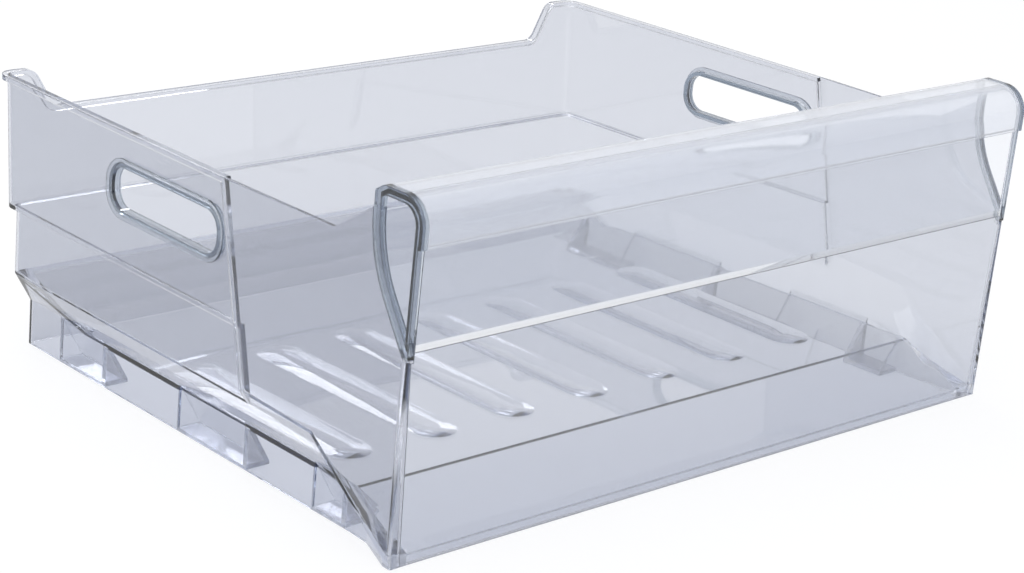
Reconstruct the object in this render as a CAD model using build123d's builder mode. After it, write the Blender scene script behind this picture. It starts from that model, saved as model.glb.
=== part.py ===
from build123d import *
import math
import os

os.makedirs("parts", exist_ok=True)

# Clear drawer for a fridge or freezer, in millimetres. X runs along the front, -Y is the front,
# +Z is up. Depths are measured from the foot of the front panel towards the rear.

# ---- driving dimensions ----
WIDTH = 467.0  # over the side walls of the front part
REAR_DEPTH = 364.7  # foot of the front panel to the outside of the back wall, at the rim
RIM_HEIGHT = 161.0  # top of the side walls
WALL = 2.2  # moulded wall
FIT_GAP = 0.3  # clearance between two pieces that are clipped together
SIDE_TAPER = 0.031  # each side wall draws in by this much for each mm of depth

# rear part of the tub, behind the step in the side walls
STEP_DEPTH_TOP = 150.0
STEP_DEPTH_LOW = 124.0
STEP_LOW_HEIGHT = 50.0
SIDE_STEP = 3.0  # how far each side wall steps in there
LEDGE_STEP = 2.5  # and how far it steps in again below the ledge
LEDGE_HEIGHT = 84.0
LEDGE_THICK = 2.0
REAR_LEAN_OUT = 5.7  # how far the back wall leans out from the ledge to the rim
REAR_LEDGE_STEP = 4.5
REAR_CORNER = 7.0

# lower body
SKIRT_INSET = 11.3  # how far the skirt stands in from the side walls
SKIRT_REAR_INSET = 2.5
SKIRT_CORNER = 3.0
SKIRT_HEIGHT = 27.0
CHAMFER_HEIGHT = 45.0
FLOOR_HEIGHT = 25.0
RAMP_LENGTH = 56.5  # sloped band between the floor and the back wall
FLOOR_CORNER = 15.0
FLOOR_FRONT = 45.0
FOOT_FLOOR_HEIGHT = 3.0
FOOT_FLOOR_INSET = 30.5
FOOT_FLARE = 0.9  # how far the skirt bends out again before the front corner
UNDER_FRONT = 5.5  # start of the hollow under the floor
UNDER_INSET = 12.0

# back wall
NOTCH_HEIGHT = 137.5
EAR_WIDTH = 19.8  # raised corner left on each side of the lowered middle
NOTCH_SPREAD = 14.0  # how far each end of the lowered middle slants outwards
NOTCH_ROUND = 9.0
BEAD_OUT = 3.0
BEAD_TALL = 3.0

# bays between the outset panels of the skirt, as depths from and to
BAYS = ((53.0, 77.0), (138.0, 198.0), (273.0, 316.0))
BAY_DEEP = 15.0
BAY_FLANGE = 2.0

# floor ridges, as low rounded swells
RIDGE_PITCH = 57.0
RIDGE_COUNT = 7
RIDGE_SHIFT = -19.0
RIDGE_WIDTH = 28.0
RIDGE_FRONT = 72.0
RIDGE_REAR = 226.0
RIDGE_TALL = 1.2

# front panel
PANEL_THICK = 2.8
PANEL_HEIGHT = 168.0
PANEL_LEAN = 1.0  # degrees that the panel leans out towards its top
PANEL_INSET_LOW = 7.3  # the tub's front corner beside the foot of the panel
PANEL_INSET_MID = 2.6  # and just below the handle ends
PANEL_SHOULDER = 109.0
CORNER_ROUND = 2.0  # upright front corners of the tub, beside the panel

# handle
HANDLE_FOOT = 113.0
HANDLE_KNEE = (16.0, 136.0)
HANDLE_BACK = 28.5
HANDLE_STRAIGHT = 178.0
HANDLE_TOP = 190.0
HANDLE_CREST_REAR = 23.5
HANDLE_CREST_FRONT = 10.0
HANDLE_SHOULDER = 187.0
HANDLE_BROW = 176.0
HANDLE_THICK = 2.4
COVER_THICK = 1.6
COVER_LOW = 167.0
COVER_REAR = 24.0
FRAME_PROUD = 2.0
FRAME_INSIDE = 3.0
FRAME_THICK = 4.0

# top edge of the front part of the side walls
CHEEK_BEND = 58.5
CHEEK_TOP = 179.0
CHEEK_TOP_DEPTH = 31.0

# hand slots and their collars
SLOT_DEPTH = 201.0
SLOT_HEIGHT = 127.8
SLOT_LONG = 98.0
SLOT_TALL = 24.0
SLOT_ROUND = 10.5
COLLAR_WALL = 2.4
COLLAR_LIP = 2.6
COLLAR_LIP_THICK = 1.2
COLLAR_DEEP = 2.6

# ---- derived ----
HALF_WIDTH = WIDTH / 2
UPPER_HALF = HALF_WIDTH - SIDE_STEP  # outside half width above the ledge, at the step
LOWER_HALF = UPPER_HALF - LEDGE_STEP
SKIRT_HALF = LOWER_HALF - SKIRT_INSET
FOOT_FLOOR_HALF = HALF_WIDTH - FOOT_FLOOR_INSET
PANEL_HALF_LOW = HALF_WIDTH - PANEL_INSET_LOW
PANEL_HALF_MID = HALF_WIDTH - PANEL_INSET_MID
REAR_AT_LEDGE = REAR_DEPTH - REAR_LEAN_OUT
LOWER_REAR = REAR_AT_LEDGE - REAR_LEDGE_STEP
SKIRT_REAR = LOWER_REAR - SKIRT_REAR_INSET
FLOOR_REAR = LOWER_REAR - RAMP_LENGTH
LEAN = math.tan(math.radians(PANEL_LEAN))
FRONT_REACH = HANDLE_BROW * LEAN + FRAME_PROUD
FRONT_Y = (FRONT_REACH - REAR_DEPTH - BEAD_OUT) / 2
TUB_FRONT = PANEL_THICK + FIT_GAP
CHAMFER_SLOPE = (CHAMFER_HEIGHT - SKIRT_HEIGHT) / (LOWER_HALF - SKIRT_HALF)
CHAMFER_SHIFT = WALL * math.sqrt(1 + 1 / CHAMFER_SLOPE**2)
FRAME_INNER_X = HALF_WIDTH - FRAME_THICK
HANDLE_HALF = FRAME_INNER_X - FIT_GAP
BACK_START = 100.0  # depth where the rear blocks begin, inside the front block
OPEN_TOP = RIM_HEIGHT + 60
CUT_REACH = 40.0  # how far the cutting shapes run ahead of the drawer
REAR_LEAN = REAR_LEAN_OUT / (RIM_HEIGHT - LEDGE_HEIGHT)
NOTCH_HALF_TOP = UPPER_HALF - SIDE_TAPER * (REAR_DEPTH - STEP_DEPTH_TOP) - EAR_WIDTH
NOTCH_HALF_LOW = NOTCH_HALF_TOP - NOTCH_SPREAD


def y_at(depth):
    """Y of a depth measured from the foot of the front panel."""
    return FRONT_Y + depth


def half_at(half, depth):
    """Half width at a depth, of a wall whose half width is given at the step."""
    return half + SIDE_TAPER * (STEP_DEPTH_TOP - depth)


def chamfer_top(depth, half):
    """Height at which the sloped lower band reaches a half width."""
    return SKIRT_HEIGHT + (half - half_at(SKIRT_HALF, depth)) * CHAMFER_SLOPE


def plan(height, half, front, rear, corner):
    """Tapered outline seen from above, with rounded rear corners."""
    corners = [
        (-half_at(half, front), y_at(front)),
        (half_at(half, front), y_at(front)),
        (half_at(half, rear), y_at(rear)),
        (-half_at(half, rear), y_at(rear)),
    ]
    with BuildSketch(Plane.XY.offset(height)) as outline:
        with BuildLine():
            Polyline(*corners, close=True)
        make_face()
        fillet(outline.vertices().group_by(Axis.Y)[-1], corner)
    return outline.sketch


def upper_plan(height, grow, front):
    """Outline of the part above the ledge at a height, whose back wall leans outwards."""
    rear = REAR_DEPTH + (height - RIM_HEIGHT) * REAR_LEAN
    return plan(height, UPPER_HALF + grow, front, rear + grow, REAR_CORNER + grow)


def section(depth, points):
    """Upright face across the drawer at a depth, mirrored from its right-hand points."""
    left = [(-x, z) for x, z in reversed(points)]
    with BuildSketch(Plane.XZ.offset(-y_at(depth))) as face:
        with BuildLine():
            Polyline(*points, *left, close=True)
        make_face()
    return face.sketch


def side_face(points):
    """Face in the middle plane of the drawer, from (depth, height) points."""
    with BuildSketch(Plane.YZ) as face:
        with BuildLine():
            Polyline(*[(y_at(d), z) for d, z in points], close=True)
        make_face()
    return face.sketch


def step_depth(height, back_off=0.0):
    """Depth of the slanted step in the side walls at a height."""
    slope = (STEP_DEPTH_TOP - STEP_DEPTH_LOW) / (RIM_HEIGHT - STEP_LOW_HEIGHT)
    return STEP_DEPTH_LOW + slope * (height - STEP_LOW_HEIGHT) - back_off


def panel_front(height):
    """Depth of the leaning front face of the panel at a height."""
    return -LEAN * height


def handle_outline(grow):
    """Closed side view of the handle, grown or shrunk from the outside of its shell."""
    foot = (y_at(panel_front(HANDLE_FOOT) + PANEL_THICK), HANDLE_FOOT)
    knee = (y_at(HANDLE_KNEE[0]), HANDLE_KNEE[1])
    straight = (y_at(HANDLE_BACK), HANDLE_STRAIGHT)
    shoulder = (y_at(HANDLE_BACK), HANDLE_SHOULDER)
    crest_rear = (y_at(HANDLE_CREST_REAR), HANDLE_TOP)
    crest_front = (y_at(HANDLE_CREST_FRONT), HANDLE_TOP)
    brow = (y_at(panel_front(HANDLE_BROW)), HANDLE_BROW)
    toe = (y_at(panel_front(HANDLE_FOOT)), HANDLE_FOOT)
    with BuildSketch(Plane.YZ) as face:
        with BuildLine():
            Line(foot, knee)
            TangentArc(knee, straight, tangent=(knee[0] - foot[0], knee[1] - foot[1]))
            Polyline(straight, shoulder, crest_rear, crest_front)
            TangentArc(crest_front, brow, tangent=(-1, 0))
            Polyline(brow, toe, foot)
        make_face()
        if grow:
            offset(amount=grow, kind=Kind.ARC)
    return face.sketch


def panel_room(reach):
    """Side view of the space that the front panel takes, with its clearance behind it."""
    top = PANEL_HEIGHT + reach
    return side_face(
        [
            (-40, -10),
            (panel_front(0) + PANEL_THICK + reach, -10),
            (panel_front(top) + PANEL_THICK + reach, top),
            (-40, top),
        ]
    )


def panel_face(grow):
    """Front view of the panel, grown by a clearance, on a plane ahead of the panel."""
    right = [
        (PANEL_HALF_LOW + grow, -10 * grow),
        (PANEL_HALF_MID + grow, PANEL_SHOULDER + grow),
        (HANDLE_HALF + grow, PANEL_SHOULDER + grow),
        (HANDLE_HALF + grow, PANEL_HEIGHT + grow),
    ]
    return section(TUB_FRONT - CUT_REACH, right)


# ---- foot of the tub: sections from the step to the front panel ----
# depth, bottom of the side wall, half width and top of the skirt
FOOT_SECTIONS = [
    (130.0, chamfer_top(130, HALF_WIDTH), half_at(SKIRT_HALF, 130), SKIRT_HEIGHT),
    (66.0, chamfer_top(66, HALF_WIDTH), half_at(SKIRT_HALF, 66), SKIRT_HEIGHT),
    (FLOOR_FRONT, 34.2, half_at(SKIRT_HALF, FLOOR_FRONT), 18.6),
    (31.0, 24.0, half_at(SKIRT_HALF, 31) + FOOT_FLARE, 13.0),
    (6.0, 5.5, HALF_WIDTH - 1.3, 2.0),
    (-4.0, 4.0, HALF_WIDTH - 0.7, 1.5),
]
CHEEK_BASE = 60.0  # height up to which the foot sections reach


def foot_outside(depth, wall_low, skirt_half, skirt_top):
    """Outer section of the foot of the tub."""
    return section(
        depth,
        [
            (skirt_half, 0),
            (skirt_half, skirt_top),
            (HALF_WIDTH, wall_low),
            (HALF_WIDTH, CHEEK_BASE),
        ],
    )


def floor_at(depth):
    """Half width and height of the floor's upper side at a depth."""
    full = half_at(SKIRT_HALF, depth) - CHAMFER_SHIFT - (SKIRT_HEIGHT - FLOOR_HEIGHT) / CHAMFER_SLOPE
    if depth >= FLOOR_FRONT:
        return full, FLOOR_HEIGHT
    share = max(depth, 0.0) / FLOOR_FRONT
    return (
        FOOT_FLOOR_HALF + (full - FOOT_FLOOR_HALF) * share,
        FOOT_FLOOR_HEIGHT + (FLOOR_HEIGHT - FOOT_FLOOR_HEIGHT) * share,
    )


def foot_inside(depth, wall_low, skirt_half, skirt_top):
    """Inner section of the foot of the tub, with the rounded corner as a middle crease."""
    floor_half, floor_top = floor_at(depth)
    wall_half = HALF_WIDTH - WALL
    low = max(wall_low, floor_top + 1) + WALL / 2
    bulge = max(0.02, 1.0 - depth / FOOT_SECTIONS[1][0])
    middle = (
        floor_half + (wall_half - floor_half) * 0.5,
        floor_top + (low - floor_top) * (0.5 - 0.28 * bulge),
    )
    return section(
        depth,
        [(floor_half, floor_top), middle, (wall_half, low), (wall_half, CHEEK_BASE)],
    )


ROOM_SECTIONS = FOOT_SECTIONS[:-1] + [(TUB_FRONT, 4.5, 0.0, 0.0)]

# ---- tub ----
cheek_outside = [
    (FOOT_SECTIONS[-1][0], CHEEK_BASE - 6),
    (step_depth(CHEEK_BASE - 6), CHEEK_BASE - 6),
    (STEP_DEPTH_TOP, RIM_HEIGHT),
    (CHEEK_BEND, RIM_HEIGHT),
    (CHEEK_TOP_DEPTH, CHEEK_TOP),
    (FOOT_SECTIONS[-1][0], CHEEK_TOP),
]
with BuildPart() as front_block:
    loft([foot_outside(*s) for s in FOOT_SECTIONS], ruled=True)
    extrude(side_face(cheek_outside), amount=HALF_WIDTH, both=True)
    extrude(
        side_face(
            [
                (step_depth(-50), -50),
                (step_depth(OPEN_TOP), OPEN_TOP),
                (REAR_DEPTH, OPEN_TOP),
                (REAR_DEPTH, -50),
            ]
        ),
        amount=WIDTH,
        both=True,
        mode=Mode.SUBTRACT,
    )

with BuildPart() as front_room:
    loft([foot_inside(*s) for s in ROOM_SECTIONS], ruled=True)
    extrude(
        side_face(
            [
                (TUB_FRONT, CHEEK_BASE - 5),
                (step_depth(CHEEK_BASE - 5), CHEEK_BASE - 5),
                (step_depth(OPEN_TOP), OPEN_TOP),
                (TUB_FRONT, OPEN_TOP),
            ]
        ),
        amount=HALF_WIDTH - WALL,
        both=True,
    )
    extrude(
        side_face(
            [
                (step_depth(-50, WALL), -50),
                (step_depth(OPEN_TOP, WALL), OPEN_TOP),
                (REAR_DEPTH, OPEN_TOP),
                (REAR_DEPTH, -50),
            ]
        ),
        amount=WIDTH,
        both=True,
        mode=Mode.SUBTRACT,
    )

with BuildPart() as rear_block:
    extrude(plan(0, SKIRT_HALF, BACK_START, SKIRT_REAR, SKIRT_CORNER), amount=SKIRT_HEIGHT)
    loft(
        [
            plan(SKIRT_HEIGHT, SKIRT_HALF, BACK_START, SKIRT_REAR, SKIRT_CORNER),
            plan(CHAMFER_HEIGHT, LOWER_HALF, BACK_START, LOWER_REAR, REAR_CORNER),
        ],
        ruled=True,
    )
    extrude(
        plan(CHAMFER_HEIGHT, LOWER_HALF, BACK_START, LOWER_REAR, REAR_CORNER),
        amount=LEDGE_HEIGHT - CHAMFER_HEIGHT,
    )
    loft(
        [
            upper_plan(LEDGE_HEIGHT, 0, STEP_DEPTH_LOW),
            upper_plan(RIM_HEIGHT, 0, STEP_DEPTH_LOW),
        ],
        ruled=True,
    )

INNER_CORNER = REAR_CORNER - WALL
INNER_CHAMFER = SKIRT_HEIGHT + (LOWER_HALF - WALL - SKIRT_HALF + CHAMFER_SHIFT) * CHAMFER_SLOPE
FLOOR_HALF = floor_at(STEP_DEPTH_TOP)[0]
with BuildPart() as rear_room:
    loft(
        [
            plan(FLOOR_HEIGHT, FLOOR_HALF, BACK_START, FLOOR_REAR, FLOOR_CORNER),
            plan(INNER_CHAMFER, LOWER_HALF - WALL, BACK_START, LOWER_REAR - WALL, INNER_CORNER),
        ],
        ruled=True,
    )
    extrude(
        plan(INNER_CHAMFER, LOWER_HALF - WALL, BACK_START, LOWER_REAR - WALL, INNER_CORNER),
        amount=OPEN_TOP - INNER_CHAMFER,
    )
    loft(
        [
            upper_plan(LEDGE_HEIGHT + LEDGE_THICK, -WALL, BACK_START),
            upper_plan(OPEN_TOP, -WALL, BACK_START),
        ],
        ruled=True,
    )

# underside: hollow below the floor, with a solid band round each bay
UNDER_TOP = FLOOR_HEIGHT - WALL


def bay_section(depth, grow):
    """Section of a sloped bay in the right-hand skirt, grown inwards by a distance."""
    outer = half_at(SKIRT_HALF, depth) + 5
    top = half_at(SKIRT_HALF, depth)
    inner = top - BAY_DEEP
    low = BAY_FLANGE - grow * 4
    high = min(SKIRT_HEIGHT, SKIRT_HEIGHT - (FOOT_SECTIONS[1][0] - depth) * 0.4)
    points = [
        (outer, low),
        (inner - grow * 1.2, low),
        (inner - grow * 1.2, BAY_FLANGE),
        (top - grow * 1.2, high),
        (outer, high),
    ]
    with BuildSketch(Plane.XZ.offset(-y_at(depth))) as face:
        with BuildLine():
            Polyline(*points, close=True)
        make_face()
    return face.sketch


with BuildPart() as bays:
    for start, end in BAYS:
        loft([bay_section(start, 0.001), bay_section(end, 0.001)], ruled=True)
    mirror(about=Plane.YZ)

with BuildPart() as bay_walls:
    for start, end in BAYS:
        loft([bay_section(start - WALL, WALL), bay_section(end + WALL, WALL)], ruled=True)
    mirror(about=Plane.YZ)


def under_section(depth, skirt_half):
    """Section of the hollow under the floor at a depth."""
    top = floor_at(depth)[1] - WALL
    return section(depth, [(skirt_half - WALL, -5), (skirt_half - WALL, top)])


RAMP_SLOPE = (INNER_CHAMFER - FLOOR_HEIGHT) / (LOWER_REAR - WALL - FLOOR_REAR)
UNDER_REAR = SKIRT_REAR - WALL
with BuildPart() as underside:
    extrude(plan(-5, SKIRT_HALF - WALL, FLOOR_FRONT, UNDER_REAR, SKIRT_CORNER / 2), amount=80)
    extrude(
        side_face(
            [
                (FLOOR_FRONT, -5),
                (FLOOR_FRONT, UNDER_TOP),
                (FLOOR_REAR, UNDER_TOP),
                (UNDER_REAR, UNDER_TOP + RAMP_SLOPE * (UNDER_REAR - FLOOR_REAR)),
                (UNDER_REAR, -5),
            ]
        ),
        amount=WIDTH,
        both=True,
        mode=Mode.INTERSECT,
    )
    loft(
        [
            under_section(UNDER_FRONT, HALF_WIDTH - UNDER_INSET),
            under_section(28.0, HALF_WIDTH - UNDER_INSET),
            under_section(FLOOR_FRONT, half_at(SKIRT_HALF, FLOOR_FRONT)),
        ],
        ruled=True,
    )
    add(bay_walls.part, mode=Mode.SUBTRACT)

# each ridge is the top of a lying round-ended bar, most of which is below the floor
RIDGE_LENGTH = RIDGE_REAR - RIDGE_FRONT
RIDGE_RADIUS = ((RIDGE_WIDTH / 2) ** 2 + RIDGE_TALL**2) / (2 * RIDGE_TALL)
RIDGE_STRAIGHT = RIDGE_LENGTH - RIDGE_WIDTH
with BuildPart() as ridge:
    with BuildSketch(Plane.XY):
        Rectangle(2 * RIDGE_RADIUS, RIDGE_STRAIGHT)
        with Locations((0, RIDGE_STRAIGHT / 2), (0, -RIDGE_STRAIGHT / 2)):
            Circle(RIDGE_RADIUS)
        Rectangle(RIDGE_RADIUS, 2 * RIDGE_LENGTH, align=(Align.MAX, Align.CENTER), mode=Mode.SUBTRACT)
    revolve(axis=Axis.Y, revolution_arc=360)
ridge_bar = ridge.part.moved(Location((0, 0, FLOOR_HEIGHT + RIDGE_TALL - RIDGE_RADIUS)))
with BuildPart() as ridges:
    with Locations((RIDGE_SHIFT, y_at((RIDGE_FRONT + RIDGE_REAR) / 2), 0)):
        with GridLocations(RIDGE_PITCH, 1, RIDGE_COUNT, 1):
            add(ridge_bar)
    with Locations((0, y_at(RIDGE_FRONT + RIDGE_LENGTH / 2), FLOOR_HEIGHT - WALL / 2)):
        Box(
            2 * WIDTH,
            2 * REAR_DEPTH,
            WALL / 2 + 2 * RIDGE_TALL,
            align=(Align.CENTER, Align.CENTER, Align.MIN),
            mode=Mode.INTERSECT,
        )

BEAD_START = step_depth(RIM_HEIGHT - BEAD_TALL)
with BuildPart() as rim_bead:
    loft(
        [
            upper_plan(RIM_HEIGHT - BEAD_TALL, BEAD_OUT, BEAD_START),
            upper_plan(RIM_HEIGHT, BEAD_OUT, BEAD_START),
        ],
        ruled=True,
    )
    loft([upper_plan(LEDGE_HEIGHT, 0, 0), upper_plan(OPEN_TOP, 0, 0)], mode=Mode.SUBTRACT)


def back_outline(lower):
    """Outline of the back wall round its lowered middle, dropped and widened by a distance."""
    slope = (NOTCH_HALF_TOP - NOTCH_HALF_LOW) / (RIM_HEIGHT - NOTCH_HEIGHT)
    aside = lower * math.sqrt(1 + slope**2)
    low, top = NOTCH_HEIGHT - lower, RIM_HEIGHT - lower
    low_half = NOTCH_HALF_LOW + aside - slope * lower
    top_half = low_half + slope * (top - low)
    wide = WIDTH / 2 + 20
    with BuildSketch(Plane.XZ.offset(-y_at(REAR_DEPTH))) as face:
        with BuildLine():
            Polyline(
                (-wide, 100),
                (wide, 100),
                (wide, top),
                (top_half, top),
                (low_half, low),
                (-low_half, low),
                (-top_half, top),
                (-wide, top),
                close=True,
            )
        make_face()
        fillet(face.vertices().filter_by(lambda v: abs(v.X) < NOTCH_HALF_TOP + 15), NOTCH_ROUND)
    return face.sketch


with BuildPart() as back_bead:
    loft([upper_plan(LEDGE_HEIGHT, BEAD_OUT, BEAD_START), upper_plan(RIM_HEIGHT, BEAD_OUT, BEAD_START)])
    loft([upper_plan(LEDGE_HEIGHT, 0, 0), upper_plan(OPEN_TOP, 0, 0)], mode=Mode.SUBTRACT)
    with BuildSketch(Plane.XZ.offset(-y_at(REAR_DEPTH))):
        add(back_outline(0))
        add(back_outline(BEAD_TALL), mode=Mode.SUBTRACT)
    extrude(amount=REAR_CORNER + 10, both=True, mode=Mode.INTERSECT)

with BuildPart() as notch:
    with BuildSketch(Plane.XZ.offset(-y_at(REAR_DEPTH))):
        with Locations((0, RIM_HEIGHT)):
            Rectangle(2 * (NOTCH_HALF_TOP + 12), 2 * (RIM_HEIGHT - NOTCH_HEIGHT) + 1)
        add(back_outline(0), mode=Mode.SUBTRACT)
    extrude(amount=REAR_CORNER + 10, both=True)

# hand slot, on a plane that lies on the right-hand wall
SLOT_PLANE = Plane(
    origin=(half_at(UPPER_HALF, SLOT_DEPTH), y_at(SLOT_DEPTH), SLOT_HEIGHT),
    x_dir=(-SIDE_TAPER, 1, 0),
    z_dir=(1, SIDE_TAPER, 0),
)
COLLAR_LONG = SLOT_LONG + 2 * COLLAR_WALL
COLLAR_TALL = SLOT_TALL + 2 * COLLAR_WALL
with BuildPart() as slot_cut:
    with BuildSketch(SLOT_PLANE):
        RectangleRounded(
            COLLAR_LONG + 2 * FIT_GAP,
            COLLAR_TALL + 2 * FIT_GAP,
            SLOT_ROUND + COLLAR_WALL + FIT_GAP,
        )
    extrude(amount=3 * WALL, both=True)
    mirror(about=Plane.YZ)

with BuildPart() as drawer_tub:
    add(front_block.part)
    add(rear_block.part)
    add(front_room.part, mode=Mode.SUBTRACT)
    add(rear_room.part, mode=Mode.SUBTRACT)
    add(ridges.part)
    add(underside.part, mode=Mode.SUBTRACT)
    add(bays.part, mode=Mode.SUBTRACT)
    add(rim_bead.part)
    add(back_bead.part)
    add(notch.part, mode=Mode.SUBTRACT)
    add(slot_cut.part, mode=Mode.SUBTRACT)
    extrude(panel_room(-PANEL_THICK), amount=WIDTH, both=True, mode=Mode.SUBTRACT)
    extrude(handle_outline(FRAME_PROUD + FIT_GAP), amount=WIDTH, both=True, mode=Mode.SUBTRACT)
    corners = drawer_tub.edges().filter_by(
        lambda e: abs(e.center().X) > HALF_WIDTH - 0.1
        and e.center().Y < y_at(0)
        and e.bounding_box().size.Z > PANEL_SHOULDER / 2
    )
    fillet(corners, CORNER_ROUND)
    extrude(panel_face(FIT_GAP), amount=-CUT_REACH, mode=Mode.SUBTRACT)
drawer_tub.part.label = "drawer_tub"
export_step(drawer_tub.part, "parts/drawer_tub.step")

# ---- front panel: leaning plate between the front corners of the tub ----
panel_profile = [
    (panel_front(0), 0),
    (panel_front(0) + PANEL_THICK, 0),
    (panel_front(PANEL_HEIGHT) + PANEL_THICK, PANEL_HEIGHT),
    (panel_front(PANEL_HEIGHT), PANEL_HEIGHT),
]
with BuildPart() as front_panel:
    extrude(panel_face(0), amount=-2 * CUT_REACH)
    extrude(side_face(panel_profile), amount=HALF_WIDTH, both=True, mode=Mode.INTERSECT)
front_panel.part.label = "front_panel"
export_step(front_panel.part, "parts/front_panel.step")

# ---- handle shell: the bent wall behind and over the hollow of the handle ----
with BuildPart() as handle_shell:
    extrude(handle_outline(0), amount=HANDLE_HALF, both=True)
    extrude(handle_outline(-HANDLE_THICK), amount=HANDLE_HALF, both=True, mode=Mode.SUBTRACT)
    extrude(panel_room(FIT_GAP), amount=WIDTH, both=True, mode=Mode.SUBTRACT)
handle_shell.part.label = "handle_shell"
export_step(handle_shell.part, "parts/handle_shell.step")

# ---- handle cover: strip over the top and front of the handle ----
COVER_INSIDE = FIT_GAP
COVER_OUTSIDE = FIT_GAP + COVER_THICK
with BuildPart() as handle_cover:
    extrude(handle_outline(COVER_OUTSIDE), amount=HANDLE_HALF, both=True)
    extrude(handle_outline(COVER_INSIDE), amount=HANDLE_HALF, both=True, mode=Mode.SUBTRACT)
    extrude(
        side_face([(-40, COVER_LOW), (COVER_REAR, COVER_LOW), (COVER_REAR, 260), (-40, 260)]),
        amount=WIDTH,
        both=True,
        mode=Mode.INTERSECT,
    )
handle_cover.part.label = "handle_cover"
export_step(handle_cover.part, "parts/handle_cover.step")

# ---- end frames: leaf-shaped rims round the open ends of the handle ----
with BuildPart() as frame_bar:
    extrude(handle_outline(FRAME_PROUD), amount=HALF_WIDTH, both=True)
    extrude(handle_outline(-FRAME_INSIDE), amount=HALF_WIDTH, both=True, mode=Mode.SUBTRACT)
    extrude(
        side_face([(-40, -10), (panel_front(-10), -10), (panel_front(COVER_LOW), COVER_LOW), (-40, COVER_LOW)]),
        amount=WIDTH,
        both=True,
        mode=Mode.SUBTRACT,
    )

for name, side in (("left_end_frame", -1), ("right_end_frame", 1)):
    with BuildPart() as end_frame:
        add(frame_bar.part)
        with BuildSketch(Plane.YZ.offset(side * (HALF_WIDTH - FRAME_THICK / 2))):
            with Locations((0, HANDLE_TOP)):
                Rectangle(2 * REAR_DEPTH, 2 * HANDLE_TOP)
        extrude(amount=FRAME_THICK / 2, both=True, mode=Mode.INTERSECT)
    end_frame.part.label = name
    export_step(end_frame.part, f"parts/{name}.step")

# ---- grip collars: thick rims of the hand slots ----
with BuildPart() as collar:
    with BuildSketch(SLOT_PLANE.offset(-WALL - COLLAR_DEEP)):
        RectangleRounded(COLLAR_LONG, COLLAR_TALL, SLOT_ROUND + COLLAR_WALL)
    extrude(amount=WALL + COLLAR_DEEP + FIT_GAP)
    with BuildSketch(SLOT_PLANE.offset(FIT_GAP)):
        RectangleRounded(
            COLLAR_LONG + 2 * COLLAR_LIP,
            COLLAR_TALL + 2 * COLLAR_LIP,
            SLOT_ROUND + COLLAR_WALL + COLLAR_LIP,
        )
    extrude(amount=COLLAR_LIP_THICK)
    with BuildSketch(SLOT_PLANE.offset(-WALL - COLLAR_DEEP)):
        RectangleRounded(SLOT_LONG, SLOT_TALL, SLOT_ROUND)
    extrude(amount=6 * WALL, mode=Mode.SUBTRACT)
right_collar = collar.part
left_collar = right_collar.mirror(Plane.YZ)
for name, piece in (("right_grip_collar", right_collar), ("left_grip_collar", left_collar)):
    piece.label = name
    export_step(piece, f"parts/{name}.step")

print("front", y_at(-FRONT_REACH), "rear", y_at(REAR_DEPTH + BEAD_OUT))
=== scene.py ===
"""Clear fridge drawer on a plain white table, seen from its front left corner."""

import logging
import math
from dataclasses import dataclass, field
from enum import Enum

import bpy
import numpy as np
from mathutils import Matrix, Vector


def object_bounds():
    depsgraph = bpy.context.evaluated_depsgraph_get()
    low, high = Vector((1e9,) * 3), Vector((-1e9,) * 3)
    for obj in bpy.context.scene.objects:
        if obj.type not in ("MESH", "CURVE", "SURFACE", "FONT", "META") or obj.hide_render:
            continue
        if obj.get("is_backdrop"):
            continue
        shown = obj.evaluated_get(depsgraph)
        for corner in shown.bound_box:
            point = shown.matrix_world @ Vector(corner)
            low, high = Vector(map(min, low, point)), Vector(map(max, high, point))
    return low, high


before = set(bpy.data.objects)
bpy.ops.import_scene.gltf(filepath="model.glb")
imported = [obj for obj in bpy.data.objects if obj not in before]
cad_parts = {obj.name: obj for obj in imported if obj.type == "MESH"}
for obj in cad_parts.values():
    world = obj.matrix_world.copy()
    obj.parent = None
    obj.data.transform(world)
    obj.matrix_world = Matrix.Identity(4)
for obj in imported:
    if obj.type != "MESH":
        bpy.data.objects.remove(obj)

logging.basicConfig(level=logging.INFO, format="%(message)s")
log = logging.getLogger("drawer")

Colour = tuple[float, float, float]

WHITE: Colour = (1.0, 1.0, 1.0)
PLASTIC_IOR = 1.57
SHADOW_TINT: Colour = (0.88, 0.89, 0.92)  # colour of the light behind one surface
RIPPLE_SCALE = 9.0  # ripples per metre, roughly
EDGE_SAMPLES = 4
TABLE_GAP = 0.0005  # metres between the drawer and the table
LONGEST_PATH = 56  # bounces inside and between the clear walls
WALL_BOUNCES = 48
STRAIGHT_BOUNCES = 32


class Ray(Enum):
    """Kinds of ray that a white surround answers with plain white."""

    CAMERA = "Is Camera Ray"
    GLOSSY = "Is Glossy Ray"
    TRANSMISSION = "Is Transmission Ray"


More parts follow.
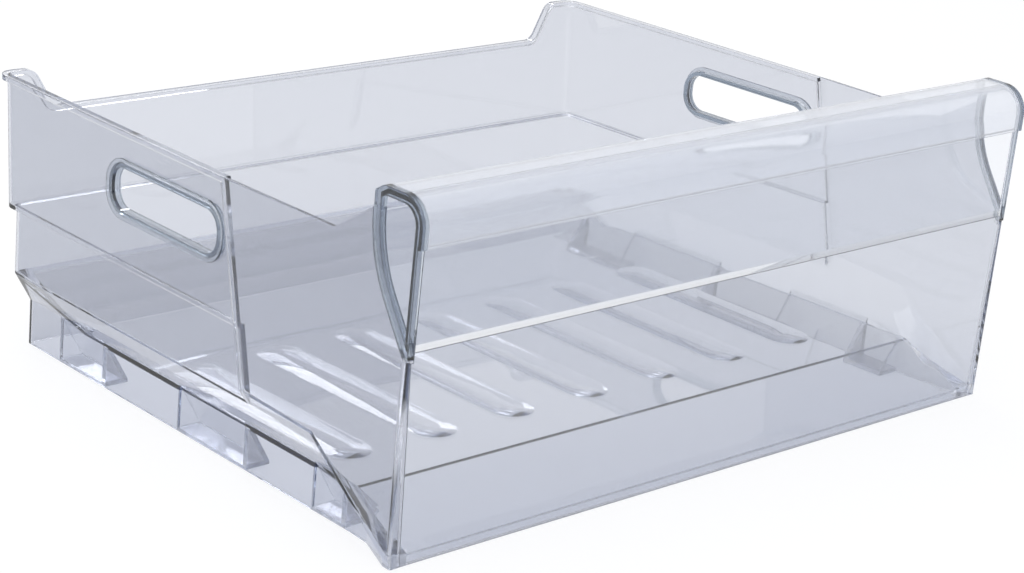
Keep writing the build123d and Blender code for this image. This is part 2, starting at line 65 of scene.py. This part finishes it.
@dataclass(frozen=True)
class ClearFinish:
    """Clear moulded plastic.

    Attributes:
        name: Name of the material.
        tint: Colour that light takes when it passes a surface.
        absorb: Colour that light takes on its way through thick plastic.
        density: How strongly thick plastic takes that colour, per metre.
        roughness: Surface roughness.
        ripple: Height of the slow ripples in the moulded surface, in metres.
        haze: Share of light that the plastic scatters as a pale veil.
        edge: Radius of the moulded edges, in metres.
    """

    name: str
    tint: Colour
    absorb: Colour
    density: float
    roughness: float = 0.02
    ripple: float = 0.0
    haze: float = 0.0
    edge: float = 0.0005

    def material(self) -> bpy.types.Material:
        """Builds the material.

        Returns:
            The node material for this finish.
        """
        made = bpy.data.materials.new(self.name)
        made.use_nodes = True
        tree = made.node_tree
        tree.nodes.clear()
        out = tree.nodes.new("ShaderNodeOutputMaterial")
        clear = tree.nodes.new("ShaderNodeBsdfPrincipled")
        clear.inputs["Base Color"].default_value = (*self.tint, 1.0)
        clear.inputs["Roughness"].default_value = self.roughness
        clear.inputs["IOR"].default_value = PLASTIC_IOR
        clear.inputs["Transmission Weight"].default_value = 1.0 - self.haze
        self._surface(tree, clear)
        pass_light = tree.nodes.new("ShaderNodeBsdfTransparent")
        pass_light.inputs["Color"].default_value = (*SHADOW_TINT, 1.0)
        path = tree.nodes.new("ShaderNodeLightPath")
        soft = tree.nodes.new("ShaderNodeMath")
        soft.operation = "MAXIMUM"
        tree.links.new(path.outputs["Is Shadow Ray"], soft.inputs[0])
        tree.links.new(path.outputs["Is Diffuse Ray"], soft.inputs[1])
        mix = tree.nodes.new("ShaderNodeMixShader")
        tree.links.new(soft.outputs[0], mix.inputs["Fac"])
        tree.links.new(clear.outputs["BSDF"], mix.inputs[1])
        tree.links.new(pass_light.outputs["BSDF"], mix.inputs[2])
        tree.links.new(mix.outputs["Shader"], out.inputs["Surface"])
        depth = tree.nodes.new("ShaderNodeVolumeAbsorption")
        depth.inputs["Color"].default_value = (*self.absorb, 1.0)
        depth.inputs["Density"].default_value = self.density
        tree.links.new(depth.outputs["Volume"], out.inputs["Volume"])
        return made

    def _surface(self, tree: bpy.types.NodeTree, clear: bpy.types.Node) -> None:
        """Rounds the moulded edges and adds slow ripples to the faces.

        Args:
            tree: Node tree of the material.
            clear: Its shader node.
        """
        rounded = tree.nodes.new("ShaderNodeBevel")
        rounded.samples = EDGE_SAMPLES
        rounded.inputs["Radius"].default_value = self.edge
        place = tree.nodes.new("ShaderNodeTexCoord")
        wave = tree.nodes.new("ShaderNodeTexNoise")
        wave.inputs["Scale"].default_value = RIPPLE_SCALE
        wave.inputs["Detail"].default_value = 1.0
        bump = tree.nodes.new("ShaderNodeBump")
        bump.inputs["Strength"].default_value = 1.0
        bump.inputs["Distance"].default_value = self.ripple
        tree.links.new(place.outputs["Object"], wave.inputs["Vector"])
        tree.links.new(wave.outputs["Fac"], bump.inputs["Height"])
        tree.links.new(rounded.outputs["Normal"], bump.inputs["Normal"])
        tree.links.new(bump.outputs["Normal"], clear.inputs["Normal"])


TUB = ClearFinish(
    "clear_tub", (0.695, 0.707, 0.747), (0.38, 0.45, 0.60), 16.0, ripple=0.0005, edge=0.0010
)
PANEL = ClearFinish("clear_panel", (0.94, 0.945, 0.955), (0.38, 0.45, 0.60), 22.0, ripple=0.0004)
HANDLE = ClearFinish("clear_handle", (0.97, 0.975, 0.985), (0.38, 0.45, 0.60), 65.0)
COVER = ClearFinish("clear_cover", (0.98, 0.982, 0.99), (0.45, 0.52, 0.64), 60.0, haze=0.15)
RIM = ClearFinish(
    "clear_rim", (0.96, 0.97, 0.975), (0.30, 0.38, 0.48), 260.0, roughness=0.01, edge=0.0008
)


@dataclass
class Mouldings:
    """A group of solids that share one finish.

    Attributes:
        title: What the group is, for the log.
        finish: Finish of every solid in the group.
        nodes: Names of the solids.
    """

    title: str
    finish: ClearFinish
    nodes: tuple[str, ...]

    def dress(self) -> None:
        """Gives each solid of the group its finish."""
        material = self.finish.material()
        for name in self.nodes:
            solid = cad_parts[name]
            solid.data.materials.clear()
            solid.data.materials.append(material)
            log.info("%s: %s", self.title, name)


@dataclass
class Viewpoint:
    """Camera that looks at the front left corner from above.

    Attributes:
        place: Position in metres.
        yaw: Turn about the vertical, in radians, clockwise from +Y.
        pitch: Dip below the horizon, in radians.
        roll: Turn about the line of sight, in radians.
        lens: Focal length in mm, for a 36 mm sensor.
    """

    place: Vector
    yaw: float
    pitch: float
    roll: float
    lens: float

    def build(self) -> bpy.types.Object:
        """Makes the camera.

        Returns:
            The camera object, set as the scene's camera.
        """
        forward = Vector(
            (
                math.sin(self.yaw) * math.cos(self.pitch),
                math.cos(self.yaw) * math.cos(self.pitch),
                -math.sin(self.pitch),
            )
        )
        level = Vector((math.cos(self.yaw), -math.sin(self.yaw), 0.0))
        down = forward.cross(level)
        right = level * math.cos(self.roll) + down * math.sin(self.roll)
        lower = down * math.cos(self.roll) - level * math.sin(self.roll)
        turn = Matrix((right, -lower, -forward)).transposed()
        data = bpy.data.cameras.new("viewpoint")
        data.lens = self.lens
        data.sensor_width = 36.0
        data.clip_start, data.clip_end = 0.05, 60.0
        camera = bpy.data.objects.new("viewpoint", data)
        camera.matrix_world = Matrix.Translation(self.place) @ turn.to_4x4()
        bpy.context.scene.collection.objects.link(camera)
        bpy.context.scene.camera = camera
        log.info("viewpoint: %.1f mm lens", self.lens)
        return camera


@dataclass
class Studio:
    """White table, white surround and soft lamps.

    Attributes:
        reach: Half size of the table top, in metres.
        glow: Share of plain white in the table's answer to a white ray.
        glow_through: The same where the table is seen through the plastic.
        surround: Colour of the world as a source of light.
        top_colour: Colour of the table top in the light of the lamps.
        lamps: Name, place, aim, side length in metres and power in watts of each lamp.
    """

    reach: float = 14.0
    glow: float = 0.8
    glow_through: float = 0.25
    surround: Colour = (0.80, 0.82, 0.86)
    top_colour: Colour = (0.9, 0.9, 0.9)
    lamps: tuple[tuple[str, Colour, Colour, float, float], ...] = field(
        default_factory=lambda: (
            ("overhead", (-0.2, -0.1, 1.7), (0.0, 0.0, 0.0), 1.6, 12.0),
            ("left", (-1.6, -0.9, 0.9), (0.0, 0.0, 0.1), 0.9, 6.0),
            ("rear", (0.9, 1.8, 1.2), (0.0, 0.0, 0.1), 0.6, 7.0),
        )
    )

    def build(self) -> None:
        """Makes the world, the table and the lamps."""
        self._world()
        self._table()
        for name, place, aim, size, power in self.lamps:
            self._lamp(name, Vector(place), Vector(aim), size, power)

    def _white_for(self, tree: bpy.types.NodeTree) -> bpy.types.NodeSocket:
        """Adds a factor that is 1 for camera, glossy and transmission rays.

        Args:
            tree: Node tree to add to.

        Returns:
            The factor's output socket.
        """
        path = tree.nodes.new("ShaderNodeLightPath")
        factor = path.outputs[Ray.CAMERA.value]
        for ray in (Ray.GLOSSY, Ray.TRANSMISSION):
            either = tree.nodes.new("ShaderNodeMath")
            either.operation = "MAXIMUM"
            tree.links.new(factor, either.inputs[0])
            tree.links.new(path.outputs[ray.value], either.inputs[1])
            factor = either.outputs[0]
        return factor

    def _world(self) -> None:
        """Makes the world: white where it is seen, softer where it gives light."""
        world = bpy.data.worlds.new("surround")
        bpy.context.scene.world = world
        world.use_nodes = True
        tree = world.node_tree
        tree.nodes.clear()
        out = tree.nodes.new("ShaderNodeOutputWorld")
        light = tree.nodes.new("ShaderNodeBackground")
        light.inputs["Color"].default_value = (*self.surround, 1.0)
        white = tree.nodes.new("ShaderNodeBackground")
        white.inputs["Color"].default_value = (*WHITE, 1.0)
        mix = tree.nodes.new("ShaderNodeMixShader")
        tree.links.new(self._white_for(tree), mix.inputs["Fac"])
        tree.links.new(light.outputs["Background"], mix.inputs[1])
        tree.links.new(white.outputs["Background"], mix.inputs[2])
        tree.links.new(mix.outputs["Shader"], out.inputs["Surface"])

    def _table(self) -> None:
        """Makes the white table top that the drawer stands on."""
        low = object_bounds()[0].z
        corners = np.array([(-1, -1), (1, -1), (1, 1), (-1, 1)], float) * self.reach
        points = np.column_stack([corners, np.full(4, low - TABLE_GAP)])
        mesh = bpy.data.meshes.new("table_top")
        mesh.from_pydata(points.tolist(), [], [(0, 1, 2, 3)])
        table = bpy.data.objects.new("table_top", mesh)
        bpy.context.scene.collection.objects.link(table)
        made = bpy.data.materials.new("table_white")
        made.use_nodes = True
        tree = made.node_tree
        tree.nodes.clear()
        out = tree.nodes.new("ShaderNodeOutputMaterial")
        matt = tree.nodes.new("ShaderNodeBsdfDiffuse")
        matt.inputs["Color"].default_value = (*self.top_colour, 1.0)
        glow = tree.nodes.new("ShaderNodeEmission")
        through = tree.nodes.new("ShaderNodeLightPath")
        less = tree.nodes.new("ShaderNodeMapRange")
        less.inputs["To Min"].default_value = self.glow
        less.inputs["To Max"].default_value = self.glow_through
        tree.links.new(through.outputs[Ray.TRANSMISSION.value], less.inputs["Value"])
        share = tree.nodes.new("ShaderNodeMath")
        share.operation = "MULTIPLY"
        tree.links.new(less.outputs["Result"], share.inputs[1])
        mix = tree.nodes.new("ShaderNodeMixShader")
        tree.links.new(self._white_for(tree), share.inputs[0])
        tree.links.new(share.outputs[0], mix.inputs["Fac"])
        tree.links.new(matt.outputs["BSDF"], mix.inputs[1])
        tree.links.new(glow.outputs["Emission"], mix.inputs[2])
        tree.links.new(mix.outputs["Shader"], out.inputs["Surface"])
        mesh.materials.append(made)
        table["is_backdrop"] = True

    def _lamp(self, name: str, place: Vector, aim: Vector, size: float, power: float) -> None:
        """Makes a square softbox.

        Args:
            name: Name of the lamp.
            place: Its position in metres.
            aim: Point that it faces.
            size: Side length in metres.
            power: Power in watts.
        """
        data = bpy.data.lights.new(name, "AREA")
        data.size = size
        data.energy = power
        lamp = bpy.data.objects.new(name, data)
        lamp.location = place
        lamp.rotation_mode = "QUATERNION"
        lamp.rotation_quaternion = (aim - place).to_track_quat("-Z", "Y")
        bpy.context.scene.collection.objects.link(lamp)


def write_size() -> None:
    """Updates the view layer."""
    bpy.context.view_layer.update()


def set_quality() -> None:
    """Lets light pass all the clear walls that lie behind one another."""
    scene = bpy.context.scene
    scene.view_settings.view_transform = "Standard"
    scene.cycles.max_bounces = LONGEST_PATH
    scene.cycles.transmission_bounces = WALL_BOUNCES
    scene.cycles.transparent_max_bounces = STRAIGHT_BOUNCES
    scene.cycles.glossy_bounces = WALL_BOUNCES


def main() -> None:
    """Dresses the drawer and builds the studio round it."""
    write_size()
    set_quality()
    Mouldings("tub", TUB, ("drawer_tub",)).dress()
    Mouldings("front panel", PANEL, ("front_panel",)).dress()
    Mouldings("handle", HANDLE, ("handle_shell",)).dress()
    Mouldings("handle cover", COVER, ("handle_cover",)).dress()
    rims = ("left_end_frame", "right_end_frame", "left_grip_collar", "right_grip_collar")
    Mouldings("rims", RIM, rims).dress()
    Studio().build()
    Viewpoint(
        place=Vector((-1.05361, -1.07806, 0.56801)),
        yaw=0.7800369,
        pitch=0.3293760,
        roll=-0.0934450,
        lens=95.47,
    ).build()
    write_size()


if __name__ == "__main__":
    main()
